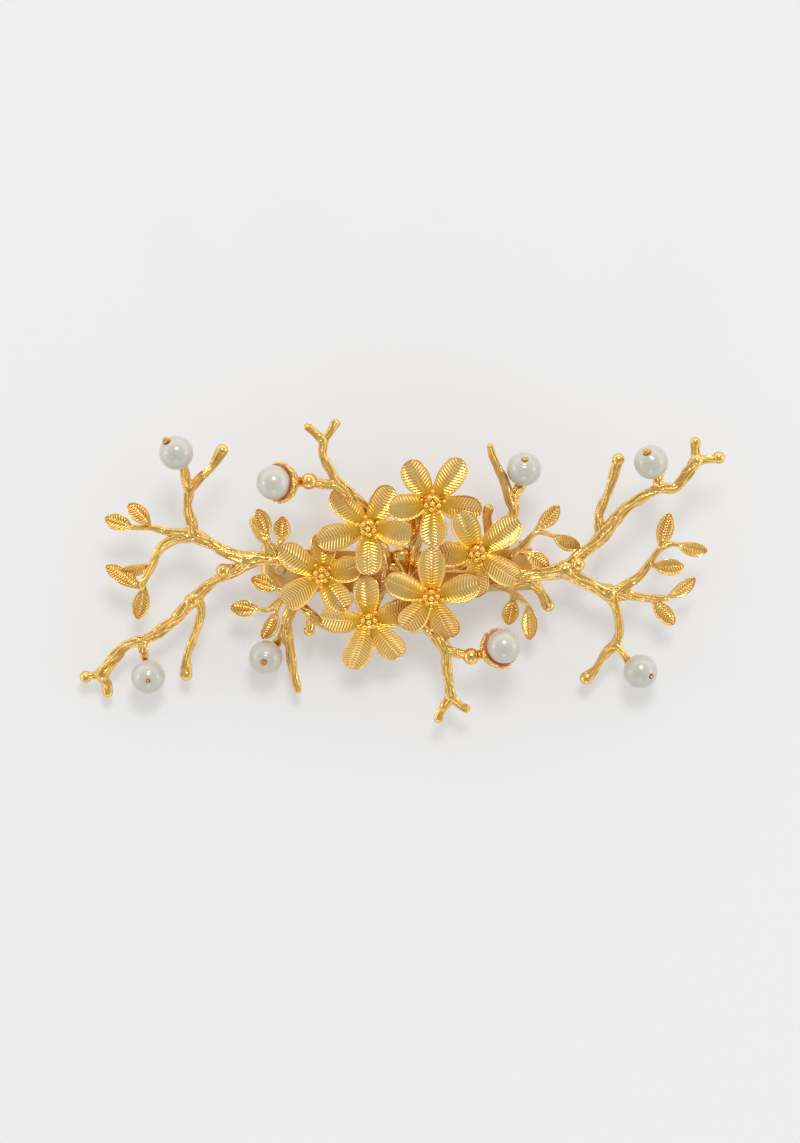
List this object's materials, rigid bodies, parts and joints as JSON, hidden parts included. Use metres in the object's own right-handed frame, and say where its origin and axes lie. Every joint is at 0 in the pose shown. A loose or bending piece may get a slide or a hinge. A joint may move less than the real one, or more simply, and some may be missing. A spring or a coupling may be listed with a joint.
{
  "type": "hair barrette",
  "caption": "Floral hair barrette: bowed metal clip with hinged arm, tension bar and squeeze catch, carrying cast branches, leaves, flowers and pearls.",
  "frame": {"origin": "middle of the base of the bounding box, midway along the clip, on the plane the closed clip rests on", "axes": "+X along the clip and the spray, from the catch towards the hinge; +Z out of the ornamental face; +Y across the clip"},
  "size_m": [0.1364, 0.0657, 0.0221],
  "materials": {
    "cast_gold": "gold-plated casting, satin with bright highlights",
    "clip_gold": "gold-plated pressed strip, smooth and bright",
    "spring_gold": "gold-washed spring steel",
    "cup_gold": "gold-plated cup, rose coloured inside",
    "pearl": "satin ivory pearl"
  },
  "bodies": {
    "clip": {"clip_plate": "clip_gold", "hinge_pin": "spring_gold", "catch_base": "clip_gold", "catch_rivet": "spring_gold", "centre_stem": "cast_gold", "centre_bud": "cast_gold", "left_branch": "cast_gold", "right_branch": "cast_gold", "top_bud_branch": "cast_gold", "bottom_bud_branch": "cast_gold", "top_bud_cup": "cup_gold", "bottom_bud_cup": "cup_gold", "top_twig": "cast_gold", "bottom_twig": "cast_gold", "left_upper_sprig": "cast_gold", "left_lower_sprig": "cast_gold", "right_upper_sprig": "cast_gold", "right_lower_sprig": "cast_gold", "flower_1": "cast_gold", "flower_2": "cast_gold", "flower_3": "cast_gold", "flower_4": "cast_gold", "flower_5": "cast_gold", "flower_6": "cast_gold", "stamens_1": "cast_gold", "stamens_2": "cast_gold", "stamens_3": "cast_gold", "stamens_4": "cast_gold", "stamens_5": "cast_gold", "stamens_6": "cast_gold", "pearl_1": "pearl", "pearl_2": "pearl", "pearl_3": "pearl", "pearl_4": "pearl", "pearl_5": "pearl", "pearl_6": "pearl", "pearl_7": "pearl", "pearl_8": "pearl", "pearl_pins": "cast_gold"},
    "arm": {"clip_arm": "clip_gold"},
    "bar": {"tension_bar": "spring_gold"},
    "tab_front": {"catch_tab_front": "clip_gold"},
    "tab_back": {"catch_tab_back": "clip_gold"}
  },
  "joints": [
    {"name": "arm_hinge", "type": "hinge", "parent": "clip", "child": "arm", "pos_m": [0.0259, -0.0013, 0.00175], "axis": [0, -1, 0], "range_deg": [0, 75]},
    {"name": "bar_pivot", "type": "hinge", "parent": "clip", "child": "bar", "pos_m": [0.0247, -0.0013, 0.005], "axis": [0, -1, 0], "range_deg": [0, 15]},
    {"name": "tab_back_squeeze", "type": "hinge", "parent": "clip", "child": "tab_back", "pos_m": [-0.0257, 0.0002, 0.0062], "axis": [-1, 0, 0], "range_deg": [0, 8], "stiffness_Nm_per_rad": 0.01},
    {"name": "tab_front_squeeze", "type": "hinge", "parent": "clip", "child": "tab_front", "pos_m": [-0.0257, -0.0028, 0.0062], "axis": [1, 0, 0], "range_deg": [0, 8], "stiffness_Nm_per_rad": 0.01}
  ],
  "couplings": [
    {"joint": "bar_pivot", "follows": "arm_hinge", "ratio": 0.2}
  ]
}
